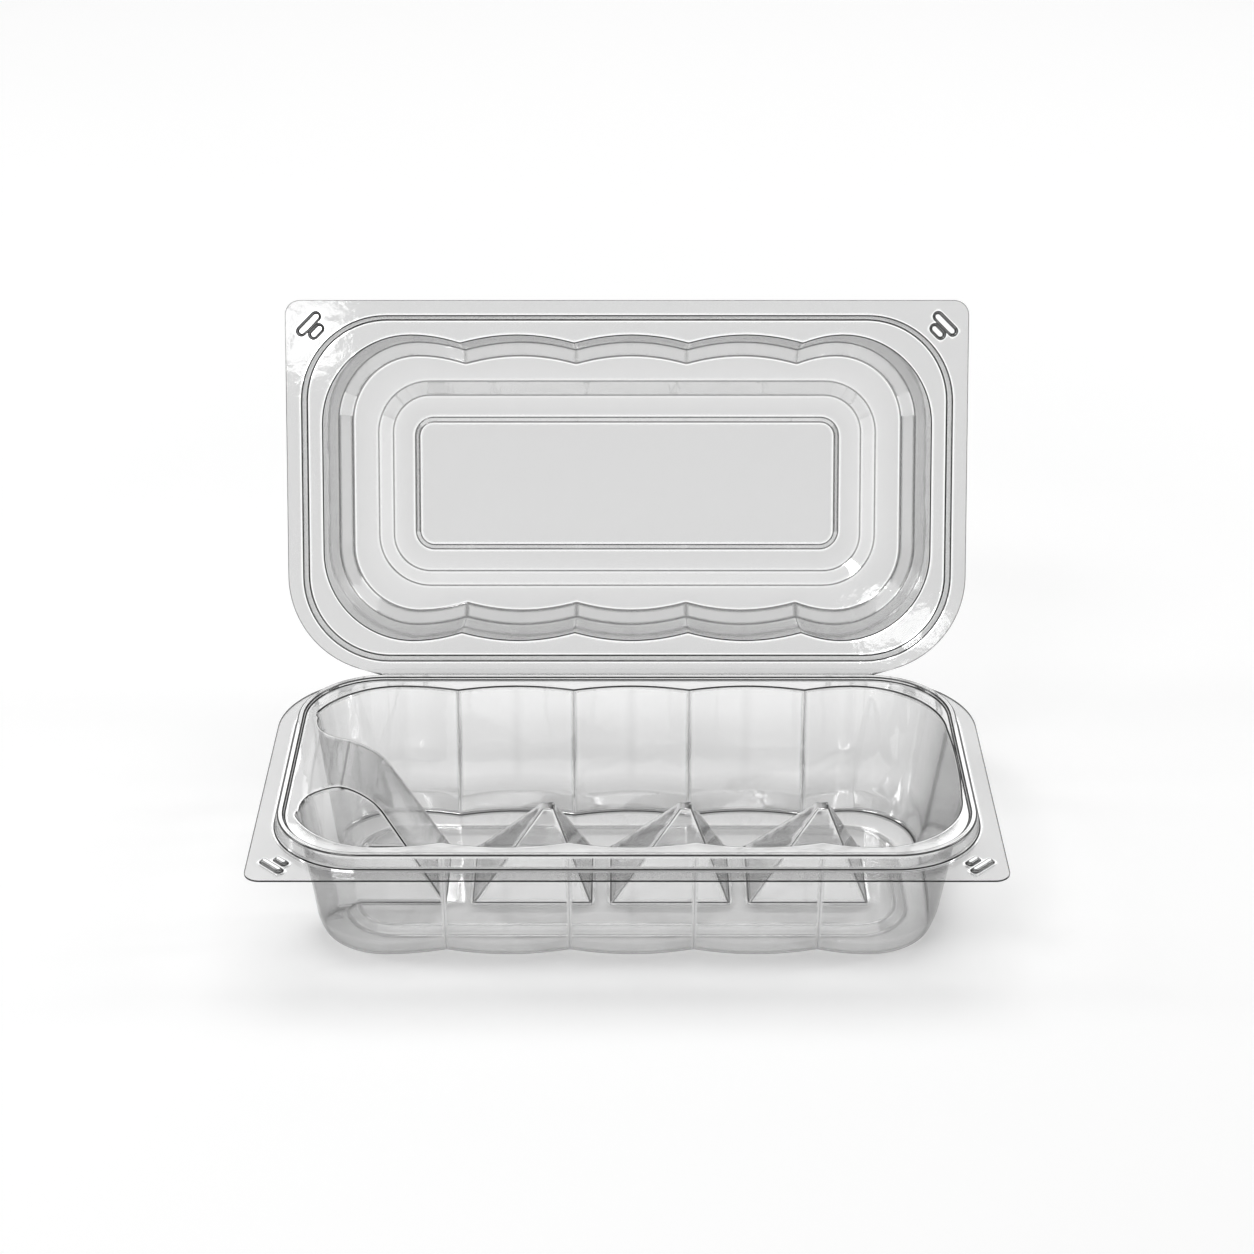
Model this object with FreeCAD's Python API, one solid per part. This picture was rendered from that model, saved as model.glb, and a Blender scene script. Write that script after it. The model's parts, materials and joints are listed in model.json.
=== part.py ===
import FreeCAD, Part
import math
import os

# Clear thermoformed food pack: a tray and a lid formed from one sheet and folded along a
# living hinge. Lengths are in millimetres. Both halves are drawn in the closed position,
# with the hinge line along X through the origin, the tray below Z = 0 and towards -Y.
# The lid is then turned open and the whole pack moved so that it stands on Z = 0.

# Plan of the pack
pack_length = 230.0
pack_depth = 127.3
free_corner_radius = 5.0
hinge_corner_radius = 33.0

# Sheet left after forming, thicker in the tray
tray_sheet = 0.5
lid_sheet = 0.32

# Living hinge
hinge_length = 167.0
hinge_web = 1.2
hinge_relief = 0.2
flange_gap = 0.15
open_angle = 111.35

# Raised rim round the tray, which the lid drops over
rim_inset = 5.9
rim_height = 4.6
rim_draft = 1.0
rim_corner_radius = 28.0
bead_width = 1.9
land_drop = 1.0

# Tray walls: inset of the sides and ends at the land, lean of the wall, chamfer down to the foot
wall_side_inset = 13.2
wall_end_inset = 9.7
wall_corner_radius = 29.0
wall_draft = 5.6
end_bow = 1.0
tray_depth = 41.3
foot_chamfer_height = 6.0
foot_chamfer_run = 3.6

# Fluted long walls
flute_pitch = 38.7
flute_depth = 2.7
flute_shift = 1.5
flute_creases = 4

# Raised floor inside the foot ring
floor_rise = 2.0
floor_length = 172.0
floor_width = 58.6
floor_corner_radius = 13.0
floor_slope_run = 3.4

# Pyramids that hold the food apart
pyramid_count = 3
pyramid_pitch = 44.2
pyramid_first_x = -30.4
pyramid_length = 37.9
pyramid_width = 34.0
pyramid_height = 27.3
pyramid_apex_shift = 5.2
pyramid_edge_radius = 1.2
pyramid_tip = 2.6
pyramid_wall_drop = 0.95

# Buttress with a ramp and a shelf at the left end
ramp_foot_x = -58.1
ramp_angle = 60.0
ramp_width = 33.9
ramp_side_draft = 3.0
flare_start_x = -87.0
flare_radius = 14.0
flare_turn = 78.0

# Lid: step over the rim, fluted dome, ledge, plateau and label panel
step_inset = 5.3
step_height = 4.95
step_draft = 1.2
step_corner_radius = 28.7
dome_inset = 11.8
dome_corner_radius = 30.0
dome_draft = 2.2
dome_height = 33.5
shoulder_run = 4.75
shoulder_height = 4.1
plateau_inset = 27.7
plateau_rise = 2.3
plateau_slope_run = 4.9
plateau_corner_radius = 18.0
panel_inset = 40.4
panel_drop = 1.0
panel_slope_run = 1.6
panel_corner_radius = 5.0

# Snap buttons at the free corners
button_inset = 7.9
button_length = 8.8
button_width = 1.9
button_end_share = 0.6
button_height = 0.9
button_step = 3.6
short_button_length = 4.6
button_clearance = 0.3

half_length = pack_length / 2
mid_y = -pack_depth / 2
tray_top = -flange_gap
rim_top = tray_top + rim_height
land_z = rim_top - land_drop
foot_z = -tray_depth
floor_z = foot_z + floor_rise + tray_sheet
clear = 4.0


def arc(start, middle, end):
    return Part.Arc(start, middle, end).toShape()


def line(start, end):
    return Part.LineSegment(start, end).toShape()


def flute_valleys():
    first = flute_shift - (flute_creases - 1) * flute_pitch / 2
    return [first + number * flute_pitch for number in range(flute_creases)]


def side_edges(x_start, x_end, y_line, inward, depth, z):
    """Edges of one long side, from left to right, bulging outward between the creases."""
    if depth == 0:
        return [line(FreeCAD.Vector(x_start, y_line, z), FreeCAD.Vector(x_end, y_line, z))]
    y_valley = y_line + inward * depth
    y_quarter = y_line + inward * depth / 4
    valleys = flute_valleys()
    stops = [x_start] + valleys + [x_end]
    edges = []
    for number, (a, b) in enumerate(zip(stops, stops[1:])):
        first, last = number == 0, number == len(stops) - 2
        start = FreeCAD.Vector(a, y_line if first else y_valley, z)
        end = FreeCAD.Vector(b, y_line if last else y_valley, z)
        crown = y_quarter if first or last else y_line
        edges.append(arc(start, FreeCAD.Vector((a + b) / 2, crown, z), end))
    return edges


def ring(z, side_inset, end_inset, corner, flutes=0.0, bow=0.0):
    """Closed outline of the pack at one height, inset from the flange's edge."""
    x_side = half_length - end_inset - bow
    x_corner = x_side - corner
    front, back = -pack_depth + side_inset, -side_inset
    reach = corner * math.sqrt(0.5)

    def point(x, y):
        return FreeCAD.Vector(x, y, z)

    def corner_arc(x_sign, y_sign):
        y_side = back if y_sign > 0 else front
        y_centre = y_side - y_sign * corner
        along = point(x_sign * x_corner, y_side)
        middle = point(x_sign * (x_corner + reach), y_centre + y_sign * reach)
        across = point(x_sign * x_side, y_centre)
        return arc(along, middle, across)

    def end_edge(x_sign):
        low = point(x_sign * x_side, front + corner)
        high = point(x_sign * x_side, back - corner)
        if bow == 0:
            return line(low, high)
        return arc(low, point(x_sign * (x_side + bow), mid_y), high)

    edges = side_edges(-x_corner, x_corner, front, 1, flutes, z)
    edges += [corner_arc(1, -1), end_edge(1), corner_arc(1, 1)]
    edges += side_edges(-x_corner, x_corner, back, -1, flutes, z)[::-1]
    edges += [corner_arc(-1, 1), end_edge(-1), corner_arc(-1, -1)]
    return Part.Wire(Part.__sortEdges__(edges))


def stack(levels):
    """Solid through the rings given as (z, side inset, end inset, corner, flutes, bow)."""
    return Part.makeLoft([ring(*level) for level in levels], True, True)


def plate(wire, height):
    return Part.Face(wire).extrude(FreeCAD.Vector(0, 0, height))


def flange_plate(z, sheet):
    """Flat flange: tight corners at the free edge, wide ones at the hinge, and its hinge strip."""
    front, back = -pack_depth, -hinge_web
    points = []
    edges = []
    for x_sign, y_side, radius in (
        (1, front, free_corner_radius),
        (1, back, hinge_corner_radius),
        (-1, back, hinge_corner_radius),
        (-1, front, free_corner_radius),
    ):
        y_sign = 1 if y_side == back else -1
        reach = radius * math.sqrt(0.5)
        x_centre, y_centre = half_length - radius, y_side - y_sign * radius
        along = FreeCAD.Vector(x_sign * x_centre, y_side, z)
        middle = FreeCAD.Vector(x_sign * (x_centre + reach), y_centre + y_sign * reach, z)
        across = FreeCAD.Vector(x_sign * half_length, y_centre, z)
        order = (along, middle, across) if x_sign * y_sign < 0 else (across, middle, along)
        edges.append(arc(*order))
        points.append((order[0], order[2]))
    for number, (_, end) in enumerate(points):
        edges.append(line(end, points[(number + 1) % len(points)][0]))
    flange = plate(Part.Wire(Part.__sortEdges__(edges)), sheet)
    strip_depth = hinge_web + rim_inset / 2
    corner = FreeCAD.Vector(-hinge_length / 2, -strip_depth, z)
    strip = Part.makeBox(hinge_length, strip_depth - hinge_relief, sheet, corner)
    return flange.fuse(strip)


def rounded_rectangle(x, y, z, length, width, radius):
    """Outline centred on x, y with four round corners."""
    reach = radius * math.sqrt(0.5)
    edges, ends = [], []
    for x_sign, y_sign in ((1, -1), (1, 1), (-1, 1), (-1, -1)):
        x_centre = x + x_sign * (length / 2 - radius)
        y_centre = y + y_sign * (width / 2 - radius)
        along = FreeCAD.Vector(x_centre, y_centre + y_sign * radius, z)
        across = FreeCAD.Vector(x_centre + x_sign * radius, y_centre, z)
        middle = FreeCAD.Vector(x_centre + x_sign * reach, y_centre + y_sign * reach, z)
        order = (along, middle, across) if x_sign * y_sign < 0 else (across, middle, along)
        edges.append(arc(*order))
        ends.append((order[0], order[2]))
    for number, (_, end) in enumerate(ends):
        edges.append(line(end, ends[(number + 1) % len(ends)][0]))
    return Part.Wire(Part.__sortEdges__(edges))


def tray_levels(sheet):
    """Rings of the tray's cavity, or of its outside when the sheet is given."""
    knee_z = foot_z + foot_chamfer_height
    base_z = foot_z + tray_sheet - sheet
    shift = sheet * math.tan(math.atan2(foot_chamfer_run, foot_chamfer_height) / 2)
    levels = []
    for z, lean in (
        (land_z, 0),
        (knee_z + tray_sheet - shift, wall_draft),
        (base_z, wall_draft + foot_chamfer_run),
    ):
        inward = lean - sheet
        levels.append((z, wall_side_inset + inward, wall_end_inset + inward,
                       wall_corner_radius - inward, flute_depth, end_bow))
    return levels


def floor_block(base_z, top_z, grow):
    """Raised floor inside the foot ring, a low frustum with sloping sides."""
    spread = 2 * (floor_slope_run + grow)
    low = rounded_rectangle(0, mid_y, base_z, floor_length + spread, floor_width + spread,
                            floor_corner_radius + floor_slope_run)
    high = rounded_rectangle(0, mid_y, top_z, floor_length + 2 * grow,
                             floor_width + 2 * grow, floor_corner_radius)
    return Part.makeLoft([low, high], True, True)


def rectangle(x, y, z, length, width):
    return [FreeCAD.Vector(x + x_sign * length / 2, y + y_sign * width / 2, z)
            for x_sign, y_sign in ((-1, -1), (1, -1), (1, 1), (-1, 1))]


def frustum(low, high):
    """Flat-sided solid between two lists of four corners."""
    loops = [low[::-1], high]
    for number in range(4):
        after = (number + 1) % 4
        loops.append([low[number], low[after], high[after], high[number]])
    faces = [Part.Face(Part.makePolygon(loop + loop[:1])) for loop in loops]
    shell = Part.Shell(faces)
    shell.sewShape()
    solid = Part.Solid(shell)
    if solid.Volume < 0:
        solid.reverse()
    return solid


def pyramid(number, drop, depth, edge_radius):
    """One pyramid, lowered by drop and carried on down by depth along its own slopes."""
    x = pyramid_first_x + number * pyramid_pitch
    grow = depth / pyramid_height
    base = rectangle(x - pyramid_apex_shift * grow, mid_y, floor_z - drop - depth,
                     pyramid_length + (pyramid_length - pyramid_tip) * grow,
                     pyramid_width + (pyramid_width - pyramid_tip) * grow)
    tip = rectangle(x + pyramid_apex_shift, mid_y, floor_z - drop + pyramid_height,
                    pyramid_tip, pyramid_tip)
    body = frustum(base, tip)
    rising = [edge for edge in body.Edges if edge.BoundBox.ZLength > pyramid_height / 2]
    return body.makeFillet(edge_radius, rising)


def ramp_plan(z, half_width, left_x, offset):
    """Plan of the buttress: a strip that flares out to meet the end wall."""
    centre_y = ramp_width / 2 + flare_radius
    radius = centre_y - half_width + offset
    right_x = ramp_foot_x + 2 * clear
    turn = math.radians(flare_turn)
    narrow = centre_y - radius
    wide = centre_y - radius * math.cos(turn)

    def flare_point(angle, sign):
        return FreeCAD.Vector(flare_start_x - radius * math.sin(angle),
                              mid_y + sign * (centre_y - radius * math.cos(angle)), z)

    edges = []
    for sign in (1, -1):
        corner = FreeCAD.Vector(right_x, mid_y + sign * narrow, z)
        start, middle, end = (flare_point(angle, sign) for angle in (0, turn / 2, turn))
        far = FreeCAD.Vector(left_x, mid_y + sign * wide, z)
        edges += [line(corner, start), arc(start, middle, end), line(end, far)]
    edges.append(line(FreeCAD.Vector(left_x, mid_y - wide, z), FreeCAD.Vector(left_x, mid_y + wide, z)))
    edges.append(line(FreeCAD.Vector(right_x, mid_y - narrow, z),
                      FreeCAD.Vector(right_x, mid_y + narrow, z)))
    return Part.Wire(Part.__sortEdges__(edges))


def ramp(top_z, left_x, offset):
    """Buttress at the left end: a ramp that rises to a shelf level with the land."""
    low_z = foot_z - clear
    high_z = land_z + clear
    floor_half = ramp_width / 2
    slope = math.tan(math.radians(ramp_side_draft))

    def half_at(z):
        return floor_half - (z - floor_z) * slope

    body = Part.makeLoft([ramp_plan(low_z, half_at(low_z), left_x, offset),
                          ramp_plan(high_z, half_at(high_z), left_x, offset)], True, True)
    run = 1 / math.tan(math.radians(ramp_angle))
    foot_x = ramp_foot_x - offset / math.sin(math.radians(ramp_angle))

    def slope_point(z):
        return FreeCAD.Vector(foot_x - (z - floor_z) * run, -pack_depth, z)

    profile = Part.makePolygon([
        slope_point(low_z),
        slope_point(top_z),
        FreeCAD.Vector(left_x - clear, -pack_depth, top_z),
        FreeCAD.Vector(left_x - clear, -pack_depth, low_z),
        slope_point(low_z),
    ])
    prism = Part.Face(profile).extrude(FreeCAD.Vector(0, pack_depth, 0))
    return body.common(prism)


def button(x_sign, z, height, grow, first=True):
    """Oblong snap button with chamfered ends, set across a free corner."""
    inset = button_inset + (0 if first else button_step / math.sqrt(2))
    x = x_sign * (half_length - inset)
    y = -pack_depth + inset
    half_x = (button_length if first else short_button_length) / 2 + grow
    half_y = button_width / 2 + grow
    chamfer = half_y * button_end_share
    corners = []
    for sign in (1, -1):
        corners += [
            FreeCAD.Vector(sign * (half_x - chamfer), -sign * half_y, 0),
            FreeCAD.Vector(sign * half_x, -sign * (half_y - chamfer), 0),
            FreeCAD.Vector(sign * half_x, sign * (half_y - chamfer), 0),
            FreeCAD.Vector(sign * (half_x - chamfer), sign * half_y, 0),
        ]
    body = plate(Part.makePolygon(corners + corners[:1]), height)
    body.rotate(FreeCAD.Vector(0, 0, 0), FreeCAD.Vector(0, 0, 1), x_sign * 45)
    body.translate(FreeCAD.Vector(x, y, z))
    return body


def buttons(z, height, grow):
    return [button(x_sign, z, height, grow, first) for x_sign in (-1, 1) for first in (True, False)]


def make_tray():
    sheet = tray_sheet
    flange = flange_plate(tray_top - sheet, sheet)
    bead_inset = rim_inset + rim_draft
    bead_radius = rim_corner_radius - rim_draft
    rim = stack([
        (tray_top - sheet, rim_inset, rim_inset, rim_corner_radius),
        (rim_top, bead_inset, bead_inset, bead_radius),
    ])
    outside = stack(tray_levels(sheet))
    formed = flange.multiFuse([rim, outside] + buttons(tray_top, button_height, 0))

    land_inset = bead_inset + bead_width
    land_radius = bead_radius - bead_width
    land = stack([
        (land_z, land_inset, land_inset, land_radius),
        (rim_top + clear, land_inset, land_inset, land_radius),
    ])
    land_under = stack([
        (land_z - sheet, land_inset - sheet, land_inset - sheet, land_radius),
        (rim_top + clear, land_inset - sheet, land_inset - sheet, land_radius),
    ])
    walls = tray_levels(sheet)
    wall_guard = stack([(land_z + clear,) + walls[0][1:]] + walls)
    rim_void = stack([
        (tray_top - sheet - clear, rim_inset + sheet, rim_inset + sheet,
         rim_corner_radius - sheet),
        (tray_top - sheet, rim_inset + sheet, rim_inset + sheet, rim_corner_radius - sheet),
        (rim_top - sheet, bead_inset + sheet, bead_inset + sheet, bead_radius - sheet),
    ])
    rim_void = rim_void.cut(land_under).cut(wall_guard)

    ramp_left = -(half_length - bead_inset - sheet)
    cavity = stack(tray_levels(0))
    cavity = cavity.cut(floor_block(foot_z - clear / 4, floor_z, sheet))
    cavity = cavity.cut(ramp(land_z + clear / 2, ramp_left, 0))
    voids = [floor_block(foot_z - clear / 4, floor_z - sheet, 0)]
    voids.append(ramp(land_z - sheet, ramp_left, sheet))
    for number in range(pyramid_count):
        cavity = cavity.cut(pyramid(number, 0, clear / 4, pyramid_edge_radius))
        voids.append(pyramid(number, pyramid_wall_drop, clear / 4, pyramid_edge_radius))
    recesses = buttons(tray_top - sheet - clear, clear + button_height, -sheet)
    return formed.cut(rim_void).cut(cavity).cut(land).cut(Part.makeCompound(voids)).cut(
        Part.makeCompound(recesses))


def lid_levels(sheet, base_z):
    """Rings of the dome, inside or, when the sheet is given, outside."""
    side = dome_inset - sheet
    shoulder = side + dome_draft + shoulder_run
    top = dome_height + shoulder_height
    return [
        (base_z, side, side, dome_corner_radius, flute_depth),
        (step_height, side, side, dome_corner_radius, flute_depth),
        (dome_height, side + dome_draft, side + dome_draft,
         dome_corner_radius - dome_draft, flute_depth),
        (top + sheet, shoulder, shoulder,
         dome_corner_radius - dome_draft - shoulder_run, flute_depth),
    ]


def plateau(sheet):
    """Raised middle of the lid."""
    low_z = dome_height + shoulder_height
    inset = plateau_inset - sheet
    slope = plateau_slope_run / plateau_rise
    start = inset - slope
    end = inset + plateau_slope_run
    return stack([
        (low_z + sheet - 1, start, start, plateau_corner_radius + slope),
        (low_z + plateau_rise + sheet, end, end, plateau_corner_radius - plateau_slope_run),
    ])


def panel(sheet, top_z):
    """Shallow recess that takes a label: the cut from above, or its boss seen from inside."""
    low_z = dome_height + shoulder_height + plateau_rise - panel_drop + sheet
    inset = panel_inset + panel_slope_run
    spread = panel_slope_run * (top_z - low_z) / panel_drop
    return stack([
        (low_z, inset - (lid_sheet - sheet), inset - (lid_sheet - sheet), panel_corner_radius),
        (top_z, inset - spread - (lid_sheet - sheet), inset - spread - (lid_sheet - sheet),
         panel_corner_radius + spread),
    ])


def make_lid():
    sheet = lid_sheet
    flange = flange_plate(flange_gap, sheet)
    outer_step = stack([
        (flange_gap, step_inset - sheet, step_inset - sheet, step_corner_radius + sheet),
        (step_height + sheet, step_inset + step_draft - sheet, step_inset + step_draft - sheet,
         step_corner_radius - step_draft + sheet),
    ])
    inner_step = stack([
        (flange_gap - clear, step_inset, step_inset, step_corner_radius),
        (flange_gap, step_inset, step_inset, step_corner_radius),
        (step_height, step_inset + step_draft, step_inset + step_draft,
         step_corner_radius - step_draft),
    ])
    top_z = dome_height + shoulder_height + plateau_rise
    outer_levels = lid_levels(sheet, flange_gap)
    raised = buttons(flange_gap, button_height + button_clearance + sheet,
                     button_clearance + sheet)
    recesses = buttons(flange_gap - clear, clear + button_height + button_clearance,
                       button_clearance)
    formed = flange.multiFuse([outer_step, stack(outer_levels), plateau(sheet)] + raised)
    inside = inner_step.multiFuse([stack(lid_levels(0, flange_gap - clear)), plateau(0)])
    boss = panel(0, top_z + clear)
    recess = panel(sheet, top_z + clear)
    return formed.cut(inside.cut(boss)).cut(recess).cut(Part.makeCompound(recesses))


def stand_up(shape):
    """Moves the pack so that its origin is at the middle of its base."""
    lean = math.radians(open_angle - 90)
    rear = 0
    for z, side, _, _, _ in lid_levels(lid_sheet, flange_gap):
        rear = max(rear, (pack_depth - side) * math.sin(lean) + z * math.cos(lean))
    plateau_z = dome_height + shoulder_height + plateau_rise + lid_sheet
    plateau_v = pack_depth - plateau_inset + lid_sheet - plateau_slope_run
    rear = max(rear, plateau_v * math.sin(lean) + plateau_z * math.cos(lean))
    shape.translate(FreeCAD.Vector(0, (pack_depth - rear) / 2, tray_depth))
    return shape


def main():
    os.makedirs("parts", exist_ok=True)
    tray = stand_up(make_tray())
    lid = make_lid()
    lid.rotate(FreeCAD.Vector(0, 0, 0), FreeCAD.Vector(1, 0, 0), -open_angle)
    lid = stand_up(lid)
    for name, shape in (("tray", tray), ("lid", lid)):
        solids = shape.Solids
        print(name, "solids", len(solids), "valid", shape.isValid(), "volume", round(shape.Volume, 1))
        box = shape.BoundBox
        print("  box", [round(v, 2) for v in (box.XMin, box.YMin, box.ZMin, box.XMax, box.YMax, box.ZMax)])
        print("  centre", [round(v, 2) for v in solids[0].CenterOfMass])
        solids[0].exportStep("parts/" + name + ".step")


main()
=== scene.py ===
import json
import math
import bpy
import numpy as np
from mathutils import Matrix, Vector
from mathutils.geometry import delaunay_2d_cdt


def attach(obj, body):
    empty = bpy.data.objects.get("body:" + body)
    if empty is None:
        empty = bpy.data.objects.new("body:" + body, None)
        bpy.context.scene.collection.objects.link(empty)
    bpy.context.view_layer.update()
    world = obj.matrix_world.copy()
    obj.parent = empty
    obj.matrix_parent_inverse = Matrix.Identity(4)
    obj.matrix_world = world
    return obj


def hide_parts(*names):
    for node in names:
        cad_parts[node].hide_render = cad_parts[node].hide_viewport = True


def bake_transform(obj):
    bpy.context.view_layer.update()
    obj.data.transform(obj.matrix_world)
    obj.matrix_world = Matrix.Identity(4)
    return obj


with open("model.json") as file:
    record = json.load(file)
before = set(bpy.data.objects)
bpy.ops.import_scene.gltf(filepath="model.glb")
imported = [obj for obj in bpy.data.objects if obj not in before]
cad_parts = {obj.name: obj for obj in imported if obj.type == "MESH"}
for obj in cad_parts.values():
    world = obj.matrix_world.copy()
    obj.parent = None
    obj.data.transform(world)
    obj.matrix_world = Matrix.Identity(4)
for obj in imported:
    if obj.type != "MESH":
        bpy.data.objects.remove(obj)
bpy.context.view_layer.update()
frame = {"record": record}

# The pack is drawn closed, in millimetres, with the hinge line along X through the origin:
# tray below Z = 0, lid above it. Each half then goes to where its joint stands when open.
pack = {
    "length": 230.0, "depth": 127.3, "freeCorner": 5.0, "hingeCorner": 33.0,
    "hingeLength": 167.0, "hingeWeb": 1.2, "hingeRelief": 0.2, "openAngle": 111.35,
    "flutePitch": 38.7, "fluteShift": 1.5, "fluteCount": 4, "creaseRound": 0.3,
}
# How finely the plan is drawn: points along each line, and rows on both sides of each fold
drawing = {
    "fluteStep": 2.7, "fluteSteps": 6, "creaseRows": (0.3, 0.65, 1.2), "sidePoints": 32,
    "endPoints": 12, "cornerTurns": 19, "foldShare": 0.5, "rowStep": 7, "halvings": 34,
    "foldSteps": (0.07, 0.15, 0.24, 0.34, 0.46, 0.62, 0.88, 1.35), "mergeWithin": 1e-4,
}
# How folds are painted: how far the sheet turns within a reach in mm, times a gain
foldPaint = {
    "darkReach": 0.1, "darkGain": 3.6, "brightReach": 0.6, "brightGain": 2.4,
    "turnStep": 0.02, "normalStep": 0.01,
}
midY = -pack["depth"] / 2
hingeSpot = Vector(frame["record"]["behaviour"]["joints"][0]["pos_m"])
trayPlace = Matrix.Translation(hingeSpot) @ Matrix.Scale(0.001, 4)
lidPlace = (Matrix.Translation(hingeSpot)
            @ Matrix.Rotation(math.radians(-pack["openAngle"]), 4, "X") @ Matrix.Scale(0.001, 4))


# Folds: two faces join in a round of radius r, inside a corner or over an edge
def foldIn(a, b, r):
    return np.maximum(r, np.minimum(a, b)) - np.hypot(np.maximum(r - a, 0), np.maximum(r - b, 0))


def foldOver(a, b, r):
    return np.minimum(-r, np.maximum(a, b)) + np.hypot(np.maximum(r + a, 0), np.maximum(r + b, 0))


# Distance above a sloping face that runs between two points of the section
def slopeFace(d, z, low, high):
    run, rise = high[0] - low[0], high[1] - low[1]
    size = math.hypot(run, rise) * (1 if run > 0 else -1)
    return (-rise * (d - low[0]) + run * (z - low[1])) / size


def creases():
    first = pack["fluteShift"] - (pack["fluteCount"] - 1) * pack["flutePitch"] / 2
    return [first + n * pack["flutePitch"] for n in range(pack["fluteCount"])]


def cornerX(ring):
    return pack["length"] / 2 - ring["end"] - ring.get("bow", 0) - ring["corner"]


def fluteDepth(ring, x):
    depth = ring.get("flutes", 0)
    if not depth:
        return 0 * x
    valleys = np.array(creases())
    reach = np.full_like(x, pack["flutePitch"] / 2)
    reach = np.where(x < valleys[0], valleys[0] + cornerX(ring), reach)
    reach = np.where(x > valleys[-1], cornerX(ring) - valleys[-1], reach)
    away = np.min(np.abs(x[:, None] - valleys[None, :]), axis=1)
    e = pack["creaseRound"]
    away = np.sqrt(away * away + e * e) - e
    return depth * np.clip(1 - away / reach, 0, 1) ** 2


# How far a point lies inside a ring, in plan
def insetAt(ring, x, y):
    bow = ring.get("bow", 0)
    halfSide = pack["depth"] / 2 - ring["side"]
    xCorner, yCorner = cornerX(ring), halfSide - ring["corner"]
    ax, ay = np.abs(x), np.abs(y - midY)
    side = halfSide - fluteDepth(ring, x) - ay
    end = xCorner + ring["corner"] + bow * np.clip(1 - (ay / yCorner) ** 2, 0, 1) - ax
    corner = ring["corner"] - np.hypot(ax - xCorner, ay - yCorner)
    inside = np.minimum(side, end)
    inside = np.where((ay <= yCorner) & (ax > xCorner), end, inside)
    inside = np.where((ay > yCorner) & (ax <= xCorner), side, inside)
    return np.where((ax > xCorner) & (ay > yCorner), corner, inside)


# Closed line in plan, a given distance inside a ring
def ringLine(ring, inward, turns=drawing["cornerTurns"]):
    bow = ring.get("bow", 0)
    halfSide = pack["depth"] / 2 - ring["side"]
    xCorner, yCorner = cornerX(ring), halfSide - ring["corner"]
    radius = ring["corner"] - inward
    if ring.get("flutes"):
        stops = [-xCorner] + creases() + [xCorner]
        xs = []
        for a, b in zip(stops, stops[1:]):
            count = max(drawing["fluteSteps"], round((b - a) / drawing["fluteStep"]))
            xs += list(np.linspace(a, b, count + 1)[:-1])
        for valley in creases():
            xs += [valley + s * u for s in (-1, 1) for u in drawing["creaseRows"]]
        xs = np.array(sorted(set(xs + [xCorner])))
    else:
        xs = np.linspace(-xCorner, xCorner, drawing["sidePoints"])
    depth = fluteDepth(ring, xs)
    ys = np.linspace(-yCorner, yCorner, drawing["endPoints"])
    bulge = bow * np.clip(1 - (ys / yCorner) ** 2, 0, 1)
    angles = np.linspace(0, math.pi / 2, turns + 1)[1:-1]
    cx, cy = radius * np.sin(angles), radius * np.cos(angles)
    front = np.c_[xs, -(halfSide - inward) + depth]
    right = np.c_[xCorner + radius + bulge, ys]
    back = np.c_[xs[::-1], (halfSide - inward) - depth[::-1]]
    left = np.c_[-(xCorner + radius + bulge), ys[::-1]]
    frontRight = np.c_[xCorner + cx, -yCorner - cy]
    backRight = np.c_[xCorner + cx[::-1], yCorner + cy[::-1]]
    backLeft = np.c_[-xCorner - cx, yCorner + cy]
    frontLeft = np.c_[-xCorner - cx[::-1], -yCorner - cy[::-1]]
    line = np.concatenate([front, frontRight, right, backRight, back, backLeft, left, frontLeft])
    line[:, 1] += midY
    return line


# Insets of the rings that draw a section: close together on both sides of each fold
def sectionInsets(section):
    insets = set()
    for before, fold, after in zip(section, section[1:], section[2:]):
        insets.add(round(fold[0], 4))
        for other in (before, after):
            size = math.dist(fold, other)
            for step in drawing["foldSteps"]:
                if step < size * drawing["foldShare"]:
                    insets.add(round(fold[0] + (other[0] - fold[0]) * step / size, 4))
    for a, b in zip(section[1:], section[2:-1]):
        parts = int(math.dist(a, b) / drawing["rowStep"])
        insets.update(round(a[0] + (b[0] - a[0]) * n / parts, 4) for n in range(1, parts))
    return sorted(insets)


# Edge of the flange: tight free corners, wide ones at the hinge, and the tongue that folds
def flangeLine(inward=0.0):
    halfL, depth = pack["length"] / 2 - inward, pack["depth"] - inward
    web, tongue = pack["hingeWeb"] + inward, pack["hingeLength"] / 2 - inward
    points = []

    def turn(cx, cy, radius, start, stop, count):
        for a in np.radians(np.linspace(start, stop, count)):
            points.append((cx + radius * math.cos(a), cy + radius * math.sin(a)))

    r = pack["freeCorner"] - inward
    wide = pack["hingeCorner"] - inward
    turn(-halfL + r, -depth + r, r, 180, 270, 13)
    points.extend((x, -depth) for x in np.linspace(-halfL + r, halfL - r, 40)[1:-1])
    turn(halfL - r, -depth + r, r, 270, 360, 13)
    points.extend((halfL, y) for y in np.linspace(-depth + r, -web - wide, 20)[1:-1])
    turn(halfL - wide, -web - wide, wide, 0, 86, 34)
    # Small round between the hinge corner and the tongue
    nook = ((0.8, -0.05), (0.25, 0.1), (0.0, 0.4))
    points.extend((tongue + dx, -web + dy) for dx, dy in nook)
    back = -pack["hingeRelief"] - inward
    points.extend((x, back) for x in np.linspace(tongue, -tongue, 60))
    points.extend((-tongue - dx, -web + dy) for dx, dy in nook[::-1])
    turn(-halfL + wide, -web - wide, wide, 94, 180, 34)
    points.extend((-halfL, y) for y in np.linspace(-web - wide, -depth + r, 20)[1:-1])
    return np.array(points)


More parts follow.
